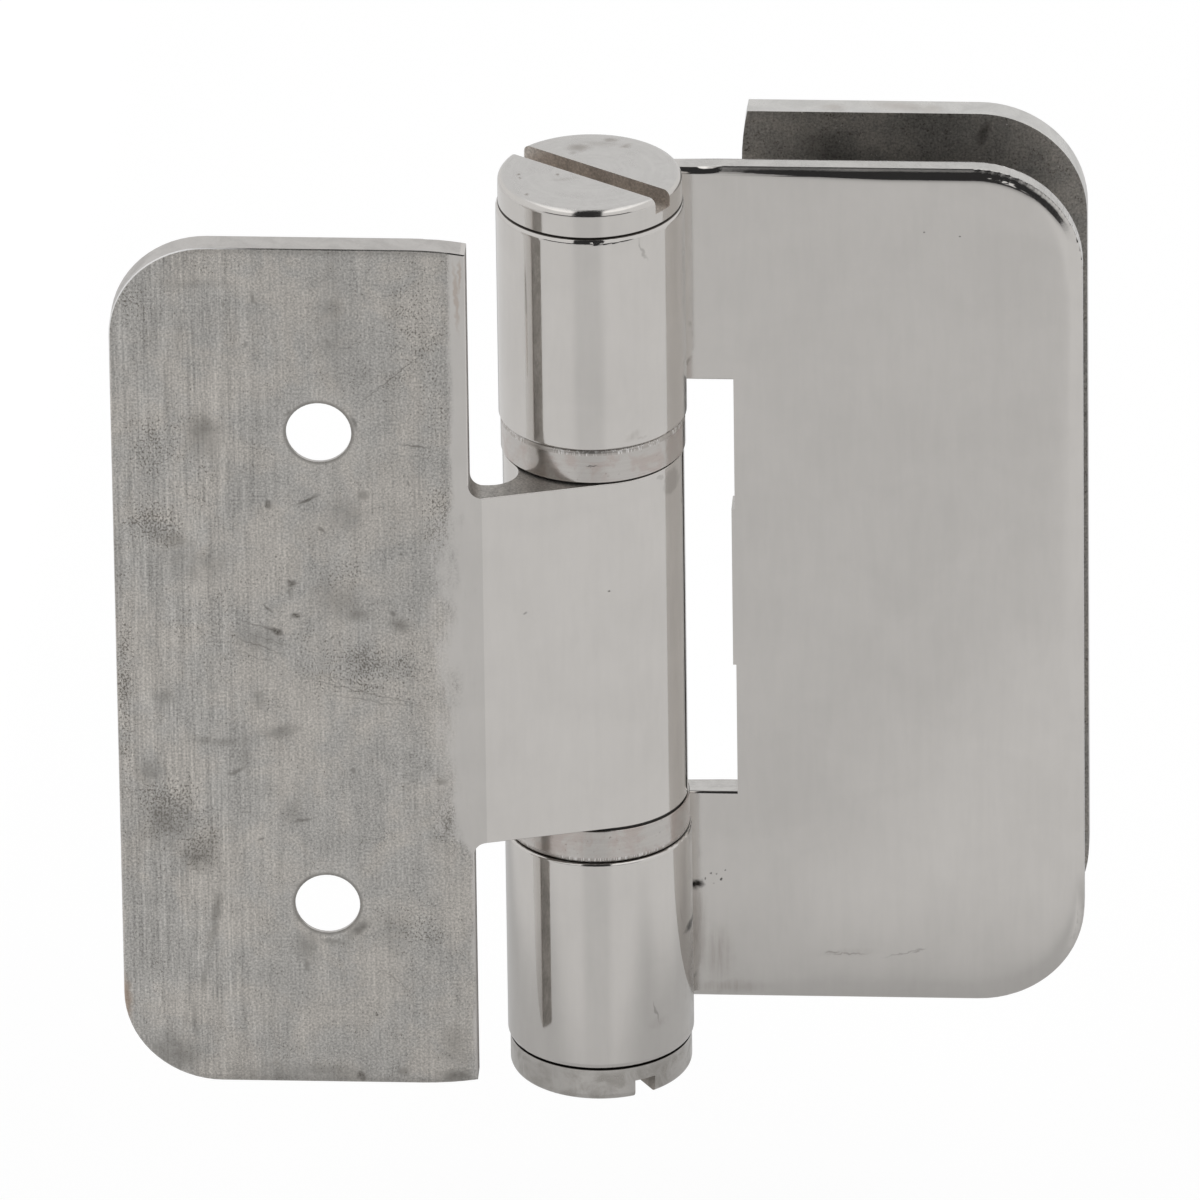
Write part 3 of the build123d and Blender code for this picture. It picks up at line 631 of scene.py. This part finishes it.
def moulded_material(name, tone, rough, grain, depth):
    """Plastic or rubber with a fine grain, dusty in places."""
    g = Finish(name)
    fine = g.noise(g.mm, grain, 4.0, 0.65)
    broad = g.noise(g.mm, 0.15, 3.0, 0.5)
    dust_and_glints = g.step(g.noise(g.mm, 0.6, 4.0, 0.7), 0.5, 0.75, 0.0, 0.12)
    tone = g.mix(dust_and_glints, tone, PLASTIC_DUST)
    amount = g.plus(g.step(broad, 0.3, 0.7, 0.90, 1.02), g.step(fine, 0.2, 0.8, -0.06, 0.06))
    coat = Coat(g.shade(tone, amount), g.step(broad, 0.3, 0.7, rough - 0.05, rough + 0.08),
                g.times(fine, depth))
    return g.close(coat, metallic=0.0)


def dress(made, *names):
    """Gives nodes one material."""
    for name in names:
        mesh = nodes[name].data
        mesh.materials.clear()
        mesh.materials.append(made)


dress(wall_leaf_material(), "wall_leaf")
dress(door_leaf_material(), "door_leaf")
dress(clamp_plate_material(), "clamp_plate")
dress(cap_material(), "top_cap", "bottom_cap")
dress(ring_material(), "upper_ring", "lower_ring")
dress(turned_material("pin_steel", PIN, 0.14), "hinge_pin")
dress(turned_material("screw_steel", SCREW, 0.22), "clamp_screws")
dress(moulded_material("rubber", RUBBER, 0.75, 4.0, 0.02), "front_gasket", "rear_gasket")
dress(moulded_material("bush_plastic", BUSH, 0.5, 3.0, 0.006), "upper_bush", "lower_bush")
dress(moulded_material("sleeve_plastic", SLEEVE, 0.45, 3.0, 0.006), "upper_sleeve", "lower_sleeve")
dress(moulded_material("washer_plastic", WASHER, 0.5, 3.0, 0.006),
      "upper_thrust_washer", "lower_thrust_washer")


def make_floor():
    """Pale floor, white where the camera sees it, with the hinge's shadow on it."""
    low = cad_box[0].z - FLOOR_DROP
    mesh = bpy.data.meshes.new("floor")
    half = FLOOR_SIZE / 2
    corners = [(-half, -half, low), (half, -half, low), (half, half, low), (-half, half, low)]
    mesh.from_pydata(corners, [], [(0, 1, 2, 3)])
    floor = bpy.data.objects.new("floor", mesh)
    bpy.context.scene.collection.objects.link(floor)

    made = bpy.data.materials.new("floor")
    made.use_nodes = True
    g = Graph(made.node_tree)
    x, y, _ = g.split(g.add("TexCoord").outputs["Object"])
    # Painted shade on the floor in front: darker in the gap between the lamps, far off, and just in
    # front of the hinge as a painted shadow of it
    across = g.size(g.math("SUBTRACT", x, AXIS_X * MM))
    forward = g.math("MAXIMUM", g.math("SUBTRACT", 0.0, y), 0.001)
    ratio = g.math("DIVIDE", across, forward)
    gap = g.times(g.step(ratio, 0.2, 0.45, 0.12, 0.0), g.step(forward, 0.02, 0.08))
    far = g.step(forward, 0.25, 1.7, 0.0, 0.35)
    near = g.times(g.step(forward, 0.025, 0.065, 0.26, 0.0), g.step(across, 0.10, 0.07))
    shade = g.math("SUBTRACT", 1.0, g.plus(gap, far, near))
    dull = g.add("BsdfDiffuse", {"Color": g.shade(FLOOR_GREY, shade)})
    ray = g.add("LightPath").outputs
    lit = g.add("Emission", {"Color": g.shade(WHITE, shade)})
    mirrored = g.math("MAXIMUM", ray["Is Glossy Ray"], ray["Is Transmission Ray"])
    glow = g.times(mirrored, FLOOR_GLOW_SHARE)
    base = g.add("MixShader", {0: glow, 1: dull.outputs[0], 2: lit.outputs[0]})
    white = g.add("Emission", {"Color": WHITE, "Strength": FLOOR_WHITE})
    seen = g.times(ray["Is Camera Ray"], FLOOR_WHITE_SHARE)
    both = g.add("MixShader", {0: seen, 1: base.outputs[0], 2: white.outputs[0]})
    g.add("OutputMaterial", {"Surface": both.outputs[0]})
    mesh.materials.append(made)


def make_world():
    """Pale studio round the hinge, with soft boxes overhead at both sides, a dark gap
    between them from the front to overhead, and a dark line along the horizon in front."""
    world = bpy.data.worlds.new("studio")
    bpy.context.scene.world = world
    world.use_nodes = True
    g = Graph(world.node_tree)
    x, y, z = g.split(g.add("TexCoord").outputs["Generated"])
    side = g.size(x)
    box = g.times(g.step(side, 0.08, 0.16), g.step(side, 0.62, 0.45), g.step(z, 0.72, 0.86),
                  g.step(y, 0.75, 0.45))
    bright = g.math("MULTIPLY_ADD", box, BOX_LEVEL, STUDIO_LEVEL)
    limit = g.math("MULTIPLY_ADD", y, -0.166, 0.142)   # the gap narrows to the back
    gap = g.times(g.step(g.math("SUBTRACT", side, limit), 0.012, -0.012), g.step(y, 0.46, 0.40))
    horizon = g.times(g.step(z, 0.18, 0.15), g.step(y, -0.55, -0.65))
    dark = g.math("MAXIMUM", gap, horizon)
    level = g.mix(dark, g.join(bright, bright, bright), STUDIO_DARK)
    camera_ray = g.add("LightPath").outputs["Is Camera Ray"]
    colour = g.mix(camera_ray, level, WHITE)
    background = g.add("Background", {"Color": colour, "Strength": 1.0})
    g.add("OutputWorld", {"Surface": background.outputs[0]})


def make_camera():
    """Camera, from its look, right and up directions."""
    data = bpy.data.cameras.new("camera")
    data.lens = CAMERA_LENS
    data.sensor_width = CAMERA_SENSOR
    data.clip_end = CAMERA_FAR
    camera = bpy.data.objects.new("camera", data)
    bpy.context.scene.collection.objects.link(camera)
    look = (CAMERA_AIM - CAMERA_PLACE).normalized()
    level = look.cross(Vector((0, 0, 1))).normalized()
    above = level.cross(look)
    right = cos(CAMERA_ROLL) * level + sin(CAMERA_ROLL) * above
    up = cos(CAMERA_ROLL) * above - sin(CAMERA_ROLL) * level
    turn = Matrix((right, up, -look)).transposed().to_4x4()
    camera.matrix_world = Matrix.Translation(CAMERA_PLACE) @ turn
    bpy.context.scene.camera = camera


make_floor()
make_world()
make_camera()
bpy.context.scene.view_settings.view_transform = "Standard"
